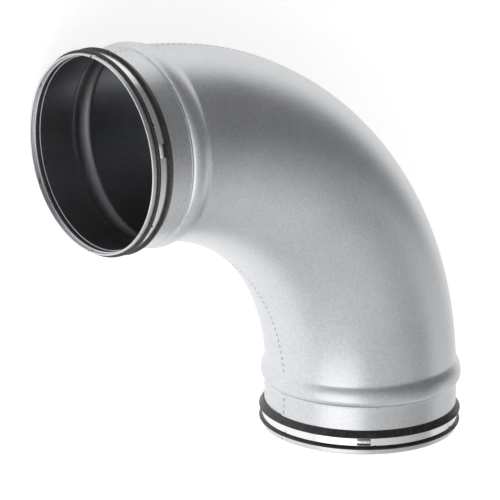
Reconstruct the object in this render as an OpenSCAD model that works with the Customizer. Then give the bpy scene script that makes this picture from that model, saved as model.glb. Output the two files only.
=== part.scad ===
// Pressed duct bend: two pressed half shells, each end with a double-lip
// rubber seal and a steel clamping band. It lies on its side: the plane of the
// bend is the plane z = 0, end A points towards -Y and end B is reached by a
// turn of bend_angle towards -X. The origin is where the joined duct stops on
// end A.

/* [Duct] */
// Inside diameter of the duct that each end goes into
duct_d = 160; // [100:1:250]
// Duct bore minus spigot outside, on the diameter
spigot_play = 2.6; // [2.2:0.1:4]
// Thickness of the galvanised sheet
sheet = 0.7; // [0.5:0.1:1]

/* [Bend] */
// Radius of the bend at its centreline
bend_r = 240; // [200:1:400]
// Angle of the bend
bend_angle = 90; // [60:1:90]
// How far the body lies inside the spigot's line
body_inset = 0.4; // [0.2:0.1:1.5]
// How far the near half's edge laps over the far half
lap_w = 4; // [2:0.5:8]

/* [Spigot] */
// Length of the spigot from the stop bead to its tip
spigot_len = 38.8; // [36:0.1:60]
// Length of the folded rim at the tip
hem_len = 4.3; // [3:0.1:5]
// How far the folded rim stands out from the seal's seat
hem_h = 1.7; // [1.2:0.1:1.8]
// Rounding of the folded rim's edges
hem_round = 0.7; // [0.3:0.05:0.8]
// Depth of the groove that the band presses the seal into
groove_d = 0.5; // [0.2:0.1:0.6]
// Length of that groove
groove_len = 3.5; // [2:0.1:4]

/* [Stop bead] */
// Height of the bead above the spigot
bead_h = 3.4; // [2.5:0.1:6]
// Length of the bead from its crest towards the body
bead_flare = 10.9; // [8:0.1:14]
// Length of the bead from its crest to the stop line
bead_under = 7.1; // [5:0.1:9]
// Height of the small ledge at the stop line
ledge_h = 0.55; // [0.3:0.05:0.9]
// Length of that ledge
ledge_len = 1.4; // [1:0.1:2.5]

/* [Seal] */
// Thickness of the seal's foot
foot_t = 1.4; // [1:0.1:1.6]
// Length of the seal's foot
foot_len = 16; // [15:0.1:20]
// How far the front lip stands above the spigot
front_lip_h = 3.35; // [2.2:0.05:4]
// How far the rear lip stands above the spigot
rear_lip_h = 3.55; // [2.4:0.05:4.5]
// From the front lip's front edge back to its crest
front_crest = 1.1; // [0.9:0.05:1.6]
// From the rear lip's front edge back to its crest
rear_crest = 1.4; // [1:0.05:2]
// Rounding of the lips' crests
lip_round = 0.7; // [0.4:0.05:0.8]
// Thickness of the seal where the rear lip runs out
heel_t = 1; // [0.8:0.05:1.3]

/* [Clamping band] */
// Width of the steel band between the lips
band_w = 6; // [4:0.1:6.5]
// Thickness of the steel band
band_t = 0.4; // [0.3:0.1:0.6]
// From the seal's front edge to the band
band_at = 3.4; // [3:0.1:4]

/* [Hidden] */
$fn = 128;
spigot_r = (duct_d - spigot_play) / 2;
// The far half lies one sheet inside the near half, which laps over it. Both
// come down to the same seat under the seal
seat_r = spigot_r - sheet;
body_r = seat_r - body_inset;
crest_r = seat_r + bead_h;
// The bead is two arcs on either side of a narrow flat crest, one down to the
// spigot's line on the body's side and one down to the ledge
crest_flat = 0.4;
flare_round = (pow(bead_flare - crest_flat / 2, 2) + pow(bead_h, 2)) / (2 * bead_h);
under_h = bead_h - ledge_h;
under_round = (pow(bead_under - ledge_len - crest_flat / 2, 2) + pow(under_h, 2)) / (2 * under_h);
seal_front = spigot_len - hem_len;
bare_len = seal_front - foot_len;
band_rear = seal_front - band_at - band_w;
groove_rear = band_rear + (band_w - groove_len) / 2;
// A box larger than the whole bend, and the reach of cuts past a face
reach = 2 * (bend_r + spigot_len + crest_r);
past = 1;

// Places its child at end A as drawn, along +Z from the stop line to the tip
module at_end_a() {
  rotate([90, 0, 0]) children();
}

// Places its child at end B, the mirror image of end A about the bend
module at_end_b() {
  translate([-bend_r, 0, 0]) rotate([0, 0, bend_angle]) translate([bend_r, 0, 0])
    mirror([0, 1, 0]) rotate([90, 0, 0]) children();
}

module at_both_ends() {
  at_end_a() children();
  at_end_b() children();
}

// The bend's own round tube, filled
module bend_tube(r) {
  translate([-bend_r, 0, 0]) rotate_extrude(angle = bend_angle) translate([bend_r, 0]) circle(r);
}

// The stop bead, filled, drawn in by the wall it leaves outside
module bead_ring(wall) {
  rotate_extrude() {
    difference() {
      translate([crest_r - flare_round, -bead_under - crest_flat / 2]) circle(flare_round - wall);
      translate([-reach, -bead_under]) square([2 * reach, reach]);
    }
    translate([seat_r - past, -bead_under - crest_flat / 2]) square([bead_h + past - wall, crest_flat]);
    difference() {
      translate([crest_r - under_round, -bead_under + crest_flat / 2]) circle(under_round - wall);
      translate([-reach, -max(wall, 0)]) square([2 * reach, reach]);
    }
    translate([seat_r - past, -ledge_len]) square([ledge_h + past - wall, ledge_len - max(wall, 0)]);
  }
}

// The folded rim, with rounded edges
module hem_ring() {
  hem_t = sheet + hem_h;
  rotate_extrude() translate([seat_r - sheet, seal_front]) {
    square([hem_t, hem_len - hem_round]);
    translate([hem_round, 0]) square([hem_t - 2 * hem_round, hem_len]);
    translate([hem_round, hem_len - hem_round]) circle(hem_round);
    translate([hem_t - hem_round, hem_len - hem_round]) circle(hem_round);
  }
}

// The spigot under the seal, filled, with its groove
module grooved_spigot(wall, h) {
  difference() {
    cylinder(r = seat_r - wall, h = h);
    rotate_extrude() translate([seat_r - wall - groove_d, groove_rear - wall])
      square([groove_d + past, groove_len + 2 * wall]);
  }
}

// The body, the beads and the bare spigots of a half that lies lift further
// out than the far half, filled, drawn in by the wall left outside
module pressed_form(lift, wall) {
  bend_tube(body_r + lift - wall);
  at_both_ends() {
    bead_ring(wall - lift);
    translate([0, 0, -bead_under]) cylinder(r = seat_r + lift - wall, h = bead_under + bare_len - wall);
  }
}

// All the space on one side of the bend's plane
module side_of_plane(side) {
  translate([-reach, -reach, side > 0 ? 0 : -reach]) cube([2 * reach, 2 * reach, reach]);
}

module half_shell(lift, side) {
  intersection() {
    difference() {
      union() {
        pressed_form(lift, 0);
        at_both_ends() {
          grooved_spigot(0, seal_front);
          hem_ring();
        }
      }
      pressed_form(lift, sheet);
      at_both_ends() grooved_spigot(sheet, spigot_len + past);
    }
    side_of_plane(side);
  }
}

// The near half's edges, which lap over the far half from seal to seal
module lap_edges() {
  intersection() {
    difference() {
      pressed_form(sheet, 0);
      pressed_form(0, 0);
    }
    translate([-reach, -reach, -lap_w]) cube([2 * reach, 2 * reach, lap_w]);
  }
}

module near_half_shell() {
  color([0.72, 0.73, 0.74]) {
    half_shell(sheet, 1);
    lap_edges();
  }
}

module far_half_shell() {
  color([0.66, 0.67, 0.69]) half_shell(0, -1);
}

// Where a line from a point touches a circle, on the side given by turn
function touch(from, centre, turn) =
  let (
    d = centre - from,
    aim = atan2(d[1], d[0]) + turn * asin(lip_round / norm(d))
  )
  from + sqrt(d * d - pow(lip_round, 2)) * [cos(aim), sin(aim)];

// A lip's section between two places along the spigot: a long rear slope up
// from the heel, a round crest and a steep front
module lip_section(rear, front, heel, h, crest) {
  centre = [spigot_r + h - lip_round, front - crest];
  rear_edge = [seat_r + heel, rear];
  front_edge = [seat_r + foot_t, front];
  polygon([
    [seat_r, rear],
    rear_edge,
    touch(rear_edge, centre, -1),
    touch(front_edge, centre, 1),
    front_edge,
    [seat_r, front]
  ]);
  translate(centre) circle(lip_round);
}

module seal() {
  color([0.09, 0.09, 0.1]) rotate_extrude() {
    translate([seat_r, band_rear - rear_crest]) square([foot_t, seal_front - band_rear + rear_crest]);
    translate([seat_r - groove_d, groove_rear]) square([groove_d + foot_t, groove_len]);
    lip_section(seal_front - band_at, seal_front, foot_t, front_lip_h, front_crest);
    lip_section(bare_len, band_rear, heel_t, rear_lip_h, rear_crest);
  }
}

module clamping_band() {
  color([0.8, 0.81, 0.82]) translate([0, 0, band_rear]) difference() {
    cylinder(r = seat_r + foot_t + band_t, h = band_w);
    translate([0, 0, -past]) cylinder(r = seat_r + foot_t, h = band_w + 2 * past);
  }
}

module seal_a() {
  at_end_a() seal();
}

module seal_b() {
  at_end_b() seal();
}

module clamping_band_a() {
  at_end_a() clamping_band();
}

module clamping_band_b() {
  at_end_b() clamping_band();
}

near_half_shell();
far_half_shell();
seal_a();
seal_b();
clamping_band_a();
clamping_band_b();
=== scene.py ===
"""Looks for the pressed duct bend: two galvanised half shells with their lapped, spot-welded seam, stop beads and
folded rims, rubber lip seals and bright clamping bands, in soft studio light."""

import math

import bmesh
import bpy
import numpy as np
from mathutils import Matrix, Vector


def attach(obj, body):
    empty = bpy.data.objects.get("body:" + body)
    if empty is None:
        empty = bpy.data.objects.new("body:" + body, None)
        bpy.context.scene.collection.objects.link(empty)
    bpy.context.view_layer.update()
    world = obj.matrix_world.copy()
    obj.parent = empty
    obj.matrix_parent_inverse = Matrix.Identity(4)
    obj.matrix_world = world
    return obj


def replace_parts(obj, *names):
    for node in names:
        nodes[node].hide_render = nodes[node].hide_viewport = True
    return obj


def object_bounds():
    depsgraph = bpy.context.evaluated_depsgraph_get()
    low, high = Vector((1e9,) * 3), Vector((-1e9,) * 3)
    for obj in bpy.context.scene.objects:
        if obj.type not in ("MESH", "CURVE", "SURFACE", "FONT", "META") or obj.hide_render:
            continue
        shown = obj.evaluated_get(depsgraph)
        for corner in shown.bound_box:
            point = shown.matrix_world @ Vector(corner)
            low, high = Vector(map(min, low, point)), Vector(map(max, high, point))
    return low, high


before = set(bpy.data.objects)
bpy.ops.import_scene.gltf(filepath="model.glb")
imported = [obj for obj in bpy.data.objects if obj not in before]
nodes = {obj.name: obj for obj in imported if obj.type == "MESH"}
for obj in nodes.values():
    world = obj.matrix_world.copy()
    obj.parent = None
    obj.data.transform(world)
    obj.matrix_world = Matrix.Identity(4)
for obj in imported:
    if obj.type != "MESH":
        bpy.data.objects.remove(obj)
cad_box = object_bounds()

# The camera as fitted to the photograph. It looks past the bend's plane with +Y up in the picture, and its angles
# are measured from there.
CAM_AZIMUTH = math.radians(-38.89)
CAM_ELEVATION = math.radians(18.211)
CAM_ROLL = math.radians(1.041)
CAM_DISTANCE = 4.591
CAM_TARGET = Vector((-0.11807, 0.13155, 0))
CAM_LENS = 414.0

# The part's sizes in millimetres, as its source has them
MM = 0.001
SHEET = 0.7
BEND_R = 240.0
SEAT_R = 78.0
TUBE_R = 77.6
BEAD_H = 3.4
BEAD_FLARE = 10.9
BEAD_UNDER = 7.1
CREST_HALF = 0.2
LEDGE_H = 0.55
LEDGE_LEN = 1.4
BARE_LEN = 18.5
SEAL_FRONT = 34.5
SPIGOT_LEN = 38.8
RIM_R = 79.7
LAP_W = 4.0
GROOVE_REAR = 26.35
GROOVE_LEN = 3.5
GROOVE_D = 0.5
BAND_REAR = 25.1
BAND_W = 6.0
BAND_R = 79.8
FRONT_LIP = (33.4, 82.05)
REAR_LIP = (23.7, 82.25)
CREST_R = SEAT_R + BEAD_H
FLARE_ROUND = ((BEAD_FLARE - CREST_HALF) ** 2 + BEAD_H**2) / (2 * BEAD_H)
UNDER_H = BEAD_H - LEDGE_H
UNDER_ROUND = ((BEAD_UNDER - LEDGE_LEN - CREST_HALF) ** 2 + UNDER_H**2) / (2 * UNDER_H)

# Studio: the world is brightest towards BRIGHT_SIDE and dimmest away from it, and the floor reads as white
BRIGHT_SIDE = (-0.5, -0.75, -0.1)
BRIGHT_FROM = -0.5
BRIGHT_TO = 0.25
WORLD_LOW = 0.27
WORLD_HIGH = 0.9
KEY_POWER = 12
SIDE_POWER = 2
FLOOR_GLOW = 0.6
FLOOR_GLOW_FAR = 0.3
GLOW_NEAR = 0.5
GLOW_FAR = 0.9
ZINC_GLOSS = 0.37

# Finer shapes that only the photograph's close look asks for
FOLD_T = 1.6
FOLD_LEN = 1.8
STEP_ROUND = 0.5
LEDGE_ROUND = 0.15
GROOVE_SLOPE = 0.3
CREASE_MARK = 0.3
RIM_MARK = -0.3
RECESS_MARK = -0.8
SEAM_GAP = 2.0
MARK_STEP = 60
MARK_WIDTH = 1.5
AROUND = 216
BODY_END = -30.0
CREASE_BLEND = 0.6
MIDDLE_ROWS = 60
FLARE_ROWS = 18
UNDER_ROWS = 9
KINK_SIZE = (0.5, 1.1, 1.5)

# Name of the mesh attribute that marks the bore's skin, and how strongly painted shade darkens its zinc colour there
INSIDE = "inside"
BORE_PAINTED_SHADE = 0.45


def make_camera():
    back = Vector((
        math.sin(CAM_AZIMUTH) * math.cos(CAM_ELEVATION),
        math.sin(CAM_ELEVATION),
        math.cos(CAM_AZIMUTH) * math.cos(CAM_ELEVATION),
    ))
    level_right = (-back).cross(Vector((0, 1, 0))).normalized()
    level_up = level_right.cross(-back)
    right = level_right * math.cos(CAM_ROLL) + level_up * math.sin(CAM_ROLL)
    up = level_up * math.cos(CAM_ROLL) - level_right * math.sin(CAM_ROLL)
    data = bpy.data.cameras.new("photo_camera")
    data.sensor_width = 36
    data.lens = CAM_LENS
    data.clip_end = 50
    camera = bpy.data.objects.new("photo_camera", data)
    bpy.context.scene.collection.objects.link(camera)
    turn = Matrix((right, up, back)).transposed().to_4x4()
    camera.matrix_world = Matrix.Translation(CAM_TARGET + back * CAM_DISTANCE) @ turn
    bpy.context.scene.camera = camera


class Nodes:
    """Short calls for building one node tree."""

    def __init__(self, tree):
        self.tree = tree
        tree.nodes.clear()

    def add(self, kind, inputs=None, **settings):
        node = self.tree.nodes.new("ShaderNode" + kind)
        for key, value in settings.items():
            setattr(node, key, value)
        for key, value in (inputs or {}).items():
            if isinstance(value, bpy.types.NodeSocket):
                self.tree.links.new(value, node.inputs[key])
            else:
                node.inputs[key].default_value = value
        return node

    def place(self):
        return self.add("TexCoord").outputs["Object"]

    def noise(self, scale, detail=3.0, place=None):
        node = self.add("TexNoise", {"Vector": place or self.place(), "Scale": scale, "Detail": detail})
        return node.outputs["Fac"]

    def remap(self, value, low, high, out_low, out_high):
        inputs = {"Value": value, "From Min": low, "From Max": high, "To Min": out_low, "To Max": out_high}
        return self.add("MapRange", inputs).outputs["Result"]

    def math(self, operation, a, b=0.0):
        return self.add("Math", {0: a, 1: b}, operation=operation).outputs["Value"]

    def blend(self, amount, a, b):
        node = self.add("Mix", data_type="RGBA")
        for socket, value in zip((node.inputs[0], node.inputs[6], node.inputs[7]), (amount, a, b)):
            if isinstance(value, bpy.types.NodeSocket):
                self.tree.links.new(value, socket)
            else:
                socket.default_value = value
        return node.outputs[2]

    def bump(self, height, distance, normal=None):
        inputs = {"Height": height, "Distance": distance}
        if normal:
            inputs["Normal"] = normal
        return self.add("Bump", inputs).outputs["Normal"]

    def finish(self, shader, kind="Material"):
        output = self.add("Output" + kind)
        self.tree.links.new(shader.outputs[0], output.inputs["Surface"])


def new_material(name):
    material = bpy.data.materials.new(name)
    material.use_nodes = True
    return material, Nodes(material.node_tree)


def zinc_material(name, dark, light, rough):
    """Galvanised sheet: a fine zinc mottle, faint drawing lines and a soft gloss, with painted shade darkening the
    bore's inner skin.
    """
    material, n = new_material(name)
    mottle = n.noise(420.0, 4.0)
    cloud = n.noise(14.0, 2.0)
    grain = n.noise(1500.0, 2.0)
    tone = n.math("ADD", n.remap(mottle, 0.3, 0.7, 0.0, 0.65), n.remap(cloud, 0.35, 0.65, 0.0, 0.35))
    # Painted shade: on the bore's inner skin the zinc colour is blended towards near black, standing in for the shade
    # inside the duct
    inside = n.add("Attribute", attribute_name=INSIDE).outputs["Fac"]
    colour = n.blend(n.math("MULTIPLY", inside, BORE_PAINTED_SHADE), n.blend(tone, dark, light), (0.05, 0.05, 0.055, 1))
    gloss = n.remap(cloud, 0.3, 0.7, rough - 0.03, rough + 0.03)
    gloss = n.math("ADD", gloss, n.remap(mottle, 0.3, 0.7, -0.04, 0.04))
    normal = n.bump(mottle, 0.00003)
    normal = n.bump(grain, 0.00001, normal)
    n.finish(n.add("BsdfPrincipled", {"Base Color": colour, "Metallic": 1.0, "Roughness": gloss, "Normal": normal}))
    return material


def rubber_material(name, axis):
    """Extruded black rubber with fine lines that run round the seal, and a little dust."""
    material, n = new_material(name)
    along = n.add("SeparateXYZ", {"Vector": n.place()}).outputs[axis]
    lines = n.math("SINE", n.math("MULTIPLY", along, 2 * math.pi / 0.0008))
    dust = n.noise(260.0, 5.0)
    colour = n.blend(n.remap(dust, 0.45, 0.75, 0.0, 1.0), (0.012, 0.012, 0.013, 1), (0.045, 0.045, 0.047, 1))
    gloss = n.remap(dust, 0.3, 0.7, 0.32, 0.5)
    normal = n.bump(lines, 0.00002)
    normal = n.bump(dust, 0.00003, normal)
    n.finish(n.add("BsdfPrincipled", {"Base Color": colour, "Roughness": gloss, "Normal": normal}))
    return material


def band_material(name, axis):
    """Bright rolled strip with fine lines along its length."""
    material, n = new_material(name)
    squeeze = [300.0, 300.0, 300.0]
    squeeze[axis] = 4000.0
    place = n.add("Mapping", {"Vector": n.place(), "Scale": squeeze}).outputs["Vector"]
    lines = n.noise(1.0, 3.0, place)
    colour = n.blend(lines, (0.74, 0.75, 0.77, 1), (0.88, 0.885, 0.9, 1))
    gloss = n.remap(lines, 0.3, 0.7, 0.16, 0.28)
    normal = n.bump(lines, 0.00001)
    n.finish(n.add("BsdfPrincipled", {"Base Color": colour, "Metallic": 1.0, "Roughness": gloss, "Normal": normal}))
    return material


def floor_material():
    """A pale floor that reads as white to the camera and in reflections, and keeps the part's shadow."""
    material, n = new_material("pale_floor")
    shade = n.noise(3.0, 2.0)
    colour = n.blend(shade, (0.91, 0.91, 0.91, 1), (0.93, 0.93, 0.93, 1))
    body = n.add("BsdfPrincipled", {"Base Color": colour, "Roughness": 0.8})
    path = n.add("LightPath")
    seen = n.math("MAXIMUM", path.outputs["Is Camera Ray"], path.outputs["Is Glossy Ray"])
    seen = n.math("MAXIMUM", seen, path.outputs["Is Transmission Ray"])
    from_part = n.add("VectorMath", {0: n.place(), 1: CAM_TARGET}, operation="DISTANCE").outputs["Value"]
    strength = n.remap(from_part, GLOW_NEAR, GLOW_FAR, FLOOR_GLOW, FLOOR_GLOW_FAR)
    glow = n.add("Emission", {"Strength": n.math("MULTIPLY", seen, strength)})
    n.finish(n.add("AddShader", {0: body.outputs[0], 1: glow.outputs[0]}))
    return material


def bead_radius(s, wall):
    """Radius of the stop bead's two arcs at s, drawn in by wall."""
    if s < -BEAD_UNDER:
        centre, arc = -BEAD_UNDER - CREST_HALF, FLARE_ROUND
    else:
        centre, arc = -BEAD_UNDER + CREST_HALF, UNDER_ROUND
    return CREST_R - arc + math.sqrt(max((arc - wall) ** 2 - (s - centre) ** 2, 0))


def arc(s, radius, round_by, start, stop, count, mark=0.0):
    """Profile points on an arc about (s, radius), between two angles in degrees from the tip's direction. A tool
    mark is full where the arc faces out or in, and nothing where it faces the tip."""
    turns = np.radians(np.linspace(start, stop, count))
    return [(s + round_by * math.cos(t), radius + round_by * math.sin(t), mark * abs(math.sin(t))) for t in turns]


def end_profile(lift):
    """One half's end as two matched lists, outside and inside, from the body to the tip. Each point is how far it
    lies from the stop line, its radius, and how far the radius changes at a tool mark."""
    bare = SEAT_R + lift
    ledge = bare + LEDGE_H
    bore = SEAT_R - SHEET
    wall = RIM_R - SHEET
    crest = -BEAD_UNDER
    flare = np.linspace(BODY_END, crest - CREST_HALF, FLARE_ROWS)
    outside = [(s, bead_radius(s, -lift), 0) for s in flare]
    inside = [(s, bead_radius(s, SHEET - lift), 0) for s in flare]
    for skin, wall_in, end in ((outside, -lift, -LEDGE_LEN - 0.1), (inside, SHEET - lift, -LEDGE_LEN - 0.3)):
        skin += [(s, bead_radius(s, wall_in), 0) for s in np.linspace(crest + CREST_HALF, end, UNDER_ROWS)]
    # The ledge at the stop line
    outside.append((-LEDGE_LEN + 0.1, ledge, CREASE_MARK))
    outside += arc(-LEDGE_ROUND, ledge - LEDGE_ROUND, LEDGE_ROUND, 90, 0, 3, CREASE_MARK)
    outside.append((LEDGE_ROUND, bare, 0))
    inside.append((-LEDGE_LEN, ledge - SHEET, 0))
    inside += arc(-SHEET - LEDGE_ROUND, ledge - SHEET - LEDGE_ROUND, LEDGE_ROUND, 90, 0, 3)
    inside.append((-SHEET + LEDGE_ROUND, bare - SHEET, 0))
    # The bare spigot, the step down to the seal's seat, and the groove under the band
    outside += [(BARE_LEN / 2, bare, 0), (BARE_LEN - 0.1, bare, 0), (BARE_LEN, SEAT_R, 0)]
    inside += [(BARE_LEN / 2, bare - SHEET, 0), (BARE_LEN - 0.9, bare - SHEET, 0), (BARE_LEN - SHEET, bore, 0)]
    for skin, seat, wider in ((outside, SEAT_R, 0), (inside, bore, SHEET)):
        rear, front = GROOVE_REAR - wider, GROOVE_REAR + GROOVE_LEN + wider
        floor = seat - GROOVE_D
        skin += [(rear, seat, 0), (rear + GROOVE_SLOPE, floor, 0), (front - GROOVE_SLOPE, floor, 0), (front, seat, 0)]
        skin.append((SEAL_FRONT - 0.1 - wider, seat, 0))
    # The rim: a step outwards with rounded corners, a wall, and a fold whose round ends in one line at the tip
    tip_s, tip_r, tip_round = SPIGOT_LEN - FOLD_T / 2, RIM_R - FOLD_T / 2, FOLD_T / 2
    outside.append((SEAL_FRONT, SEAT_R + 0.1, 0))
    outside += arc(SEAL_FRONT + STEP_ROUND, RIM_R - STEP_ROUND, STEP_ROUND, 180, 90, 4)
    outside.append((SEAL_FRONT + 2 * STEP_ROUND, RIM_R, RIM_MARK))
    outside += arc(tip_s, tip_r, tip_round, 90, 0, 5, RIM_MARK)
    inside += arc(SEAL_FRONT, bore + SHEET, SHEET, -90, 0, 4)
    inside += [(SEAL_FRONT + SHEET + 0.1, wall, RECESS_MARK), (SPIGOT_LEN - FOLD_LEN, wall, RECESS_MARK)]
    inside += arc(tip_s, tip_r, tip_round, -90, 0, 5)
    return outside, inside


def row_angles(side, inset, radius):
    """Angles round the tube from one edge of a half to the other, with the edges inset from the seam's plane."""
    edge = math.asin(inset / radius)
    return np.linspace(edge, math.pi - edge, AROUND + 1) * side


def edge_inset(side, s):
    """How far a half's edge lies from the seam's plane: the near half laps over, the far half's rim stops short."""
    if side > 0:
        return -LAP_W if s < BARE_LEN else 0.0
    return SEAM_GAP if s > SEAL_FRONT + SHEET else 0.0


def tube_reach(s, angles, tube_r):
    """How far the bend's tube reaches from the end's own axis at s, in each direction."""
    reach = np.full_like(angles, tube_r)
    for _ in range(8):
        ahead = reach * np.cos(angles) + BEND_R
        around = np.hypot(ahead, s)
        miss = (around - BEND_R) ** 2 + (reach * np.sin(angles)) ** 2 - tube_r**2
        slope = 2 * (around - BEND_R) * ahead / around * np.cos(angles) + 2 * reach * np.sin(angles) ** 2
        reach = reach - miss / slope
    return reach


def mark_weight(angles):
    """1 at the tool marks, which lie every 60 degrees round an end, and 0 away from them."""
    turn = math.radians(MARK_STEP)
    off = (angles + turn / 2) % turn - turn / 2
    return np.exp(-((off * SEAT_R / MARK_WIDTH) ** 2))


def end_row(side, s, radius, mark, tube_r):
    angles = row_angles(side, edge_inset(side, s), radius)
    reach = radius + mark * mark_weight(angles)
    if s < 0:
        tube = tube_reach(s, angles, tube_r)
        reach = (tube + reach + np.sqrt((tube - reach) ** 2 + CREASE_BLEND**2)) / 2
    return np.stack([reach * np.cos(angles), np.full_like(angles, -s), reach * np.sin(angles)], axis=1)


def skin_rows(side, profile, tube_r):
    """Rows of points for one skin of a half, from end A's tip through the bend to end B's tip."""
    rows = [end_row(side, s, radius, mark, tube_r) for s, radius, mark in profile]
    x, y, z = rows[0].T
    turn_start = np.arctan2(y, x + BEND_R)
    round_tube = np.arctan2(z, np.hypot(x + BEND_R, y) - BEND_R)
    middle = []
    for share in np.linspace(0, 1, MIDDLE_ROWS + 2)[1:-1]:
        turn = turn_start + (math.pi / 2 - 2 * turn_start) * share
        out = BEND_R + tube_r * np.cos(round_tube)
        middle.append(np.stack([out * np.cos(turn) - BEND_R, out * np.sin(turn), tube_r * np.sin(round_tube)], axis=1))
    far_end = [np.stack([row[:, 1] - BEND_R, row[:, 0] + BEND_R, row[:, 2]], axis=1) for row in rows]
    return rows[::-1] + middle + far_end


def half_shell(name, side, lift, material):
    outside, inside = end_profile(lift)
    skins = [skin_rows(side, outside, TUBE_R + lift), skin_rows(side, inside, TUBE_R + lift - SHEET)]
    count, width = len(skins[0]), AROUND + 1
    points = np.concatenate([np.concatenate(rows) for rows in skins]) * MM
    inner = count * width
    rim_rows = sum(s >= SEAL_FRONT for s, radius, mark in outside)
    faces = []
    in_bore = []
    for i in range(count - 1):
        bore_row = float(rim_rows <= i < count - 1 - rim_rows)
        for j in range(AROUND):
            a = i * width + j
            faces.append((a, a + 1, a + width + 1, a + width))
            faces.append((inner + a, inner + a + width, inner + a + width + 1, inner + a + 1))
            in_bore += [0.0, bore_row]
        for j in (0, AROUND):
            a = i * width + j
            faces.append((a, a + width, inner + a + width, inner + a))
            in_bore.append(0.0)
    mesh = bpy.data.meshes.new(name)
    mesh.from_pydata(points.tolist(), [], faces)
    # Mark the bore's inner skin, where the zinc material paints shade into the colour
    marks = mesh.attributes.new(INSIDE, "FLOAT", "FACE")
    marks.data.foreach_set("value", in_bore)
    bm = bmesh.new()
    bm.from_mesh(mesh)
    bmesh.ops.remove_doubles(bm, verts=bm.verts, dist=1e-6)
    bmesh.ops.recalc_face_normals(bm, faces=bm.faces)
    bm.to_mesh(mesh)
    bm.free()
    mesh.shade_smooth()
    mesh.set_sharp_from_angle(angle=math.radians(55))
    return place_piece(name, mesh, material)


def place_piece(name, mesh, material):
    mesh.materials.append(material)
    piece = bpy.data.objects.new(name, mesh)
    bpy.context.scene.collection.objects.link(piece)
    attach(piece, "root")
    return piece


def end_point(end, s, radius, angle):
    """A point at end A or B, with the directions out from the axis, round it and along it, in metres."""
    out = Vector((math.cos(angle), 0, math.sin(angle)))
    point = out * radius + Vector((0, -s, 0))
    if end == "b":
        point = Vector((point.y - BEND_R, point.x + BEND_R, point.z))
        out = Vector((0, out.x, out.z))
        along = Vector((-1, 0, 0))
    else:
        along = Vector((0, -1, 0))
    return point * MM, out, along.cross(out), along


def add_drop(bm, point, out, round_way, along, size):
    """A small flattened drop on a surface; its size is out from it, round the end and along the spigot."""
    turn = Matrix((out * size[0] * MM, round_way * size[1] * MM, along * size[2] * MM)).transposed().to_4x4()
    bmesh.ops.create_icosphere(bm, subdivisions=2, radius=1, matrix=Matrix.Translation(point) @ turn)


def finish_drops(name, bm, material):
    mesh = bpy.data.meshes.new(name)
    bm.to_mesh(mesh)
    bm.free()
    mesh.shade_smooth()
    return place_piece(name, mesh, material)


def weld_marks(material):
    """Spot welds along the near half's lap, on the outside and the throat of the bend and on the bare spigots."""
    bm = bmesh.new()
    skin = TUBE_R + SHEET
    depth = -1.6
    pitch = 5.6
    clear = 21.0
    for way in (1, -1):
        reach = way * math.sqrt(skin**2 - depth**2)
        arc = BEND_R + reach
        start = clear / arc
        count = round((math.pi / 2 - 2 * start) * arc / pitch)
        for i in range(count + 1):
            turn = start + (math.pi / 2 - 2 * start) * i / count
            radial = Vector((math.cos(turn), math.sin(turn), 0))
            point = (radial * arc - Vector((BEND_R, 0, 0))) * MM + Vector((0, 0, depth * MM))
            out = (radial * reach + Vector((0, 0, depth))).normalized()
            along = Vector((-math.sin(turn), math.cos(turn), 0))
            add_drop(bm, point, out, out.cross(along), along, (0.16, 0.75, 1.5))
        angle = math.asin(depth / (SEAT_R + SHEET))
        for end in "ab":
            for s in (4.0, 9.3, 14.6):
                side_angle = angle if way > 0 else math.pi - angle
                add_drop(bm, *end_point(end, s, SEAT_R + SHEET, side_angle), (0.16, 0.75, 1.5))
    finish_drops("spot_welds", bm, material)


def seal_marks(end, material):
    """Small kinks on both lips where the bending tool's segments meet."""
    bm = bmesh.new()
    for step in range(0, 360, MARK_STEP):
        for s, radius in (FRONT_LIP, REAR_LIP):
            add_drop(bm, *end_point(end, s - 0.6, radius - 0.55, math.radians(step)), KINK_SIZE)
    finish_drops("lip_kinks_" + end, bm, material)


def band_joint(end, angle, material):
    """The band's overlapping end with its two clinch points."""
    bm = bmesh.new()
    length, lift, edge = 11.0, 0.14, 0.25
    half = length / 2 / BAND_R
    low, high = BAND_REAR + edge, BAND_REAR + BAND_W - edge
    rings = []
    for i in range(13):
        turn = angle - half + 2 * half * i / 12
        rise = lift * min(1, 4 * (1 - abs(i - 6) / 6)) + 0.01
        corners = [(low, BAND_R - 0.05), (low, BAND_R + rise), (high, BAND_R + rise), (high, BAND_R - 0.05)]
        rings.append([bm.verts.new(end_point(end, s, radius, turn)[0]) for s, radius in corners])
    for one, two in zip(rings, rings[1:]):
        for k in range(4):
            bm.faces.new((one[k], one[(k + 1) % 4], two[(k + 1) % 4], two[k]))
    bm.faces.new(rings[0])
    bm.faces.new(rings[-1][::-1])
    bmesh.ops.recalc_face_normals(bm, faces=bm.faces)
    for way in (-1, 1):
        spot = end_point(end, BAND_REAR + BAND_W / 2, BAND_R + lift, angle + way * half * 0.45)
        add_drop(bm, *spot, (0.12, 0.9, 0.9))
    finish_drops("band_joint_" + end, bm, material)


def dress(node, material):
    for slot in nodes[node].material_slots:
        slot.material = material


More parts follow.
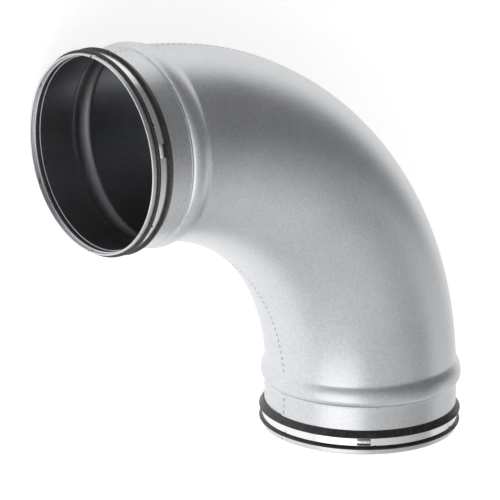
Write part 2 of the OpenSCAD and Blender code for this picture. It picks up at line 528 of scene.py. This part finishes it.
def make_floor(height):
    mesh = bpy.data.meshes.new("floor")
    half = 6.0
    corners = [(-half, -half, height), (half, -half, height), (half, half, height), (-half, half, height)]
    mesh.from_pydata(corners, [], [(0, 1, 2, 3)])
    mesh.materials.append(floor_material())
    floor = bpy.data.objects.new("floor", mesh)
    bpy.context.scene.collection.objects.link(floor)


def make_light(name, direction, distance, size, power):
    """A square soft lamp in the given direction from the middle of the part, facing it."""
    data = bpy.data.lights.new(name, "AREA")
    data.size = size
    data.energy = power
    lamp = bpy.data.objects.new(name, data)
    bpy.context.scene.collection.objects.link(lamp)
    away = Vector(direction).normalized()
    lamp.location = CAM_TARGET + away * distance
    lamp.rotation_euler = away.to_track_quat("Z", "Y").to_euler()
    lamp.visible_camera = False


def make_world():
    """A studio that is bright towards the lamps and dim behind the part."""
    world = bpy.data.worlds.new("studio")
    bpy.context.scene.world = world
    world.use_nodes = True
    n = Nodes(world.node_tree)
    direction = n.add("TexCoord").outputs["Generated"]
    towards = n.add("VectorMath", {0: direction, 1: BRIGHT_SIDE}, operation="DOT_PRODUCT").outputs["Value"]
    level = n.remap(towards, BRIGHT_FROM, BRIGHT_TO, WORLD_LOW, WORLD_HIGH)
    n.finish(n.add("Background", {"Strength": level}), "World")


bpy.context.scene.view_settings.view_transform = "Standard"
make_camera()
make_world()
make_floor(cad_box[0][2])
make_light("softbox_left", (-0.85, -0.31, 0.44), 2.2, 2.0, KEY_POWER)
make_light("softbox_right", (0.9, -0.31, 0.29), 2.2, 1.2, SIDE_POWER)

zinc = zinc_material("galvanised_sheet", (0.56, 0.57, 0.59, 1), (0.72, 0.73, 0.745, 1), ZINC_GLOSS)
weld = zinc_material("spot_weld", (0.2, 0.2, 0.21, 1), (0.42, 0.42, 0.43, 1), 0.45)
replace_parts(half_shell("near_half_sheet", 1, SHEET, zinc), "near_half_shell")
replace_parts(half_shell("far_half_sheet", -1, 0.0, zinc), "far_half_shell")
weld_marks(weld)
for end, axis, joint_angle in (("a", 1, math.radians(127)), ("b", 0, math.radians(75))):
    rubber = rubber_material("seal_rubber_" + end, axis)
    steel = band_material("band_steel_" + end, axis)
    dress("seal_" + end, rubber)
    dress("clamping_band_" + end, steel)
    seal_marks(end, rubber)
    band_joint(end, joint_angle, steel)
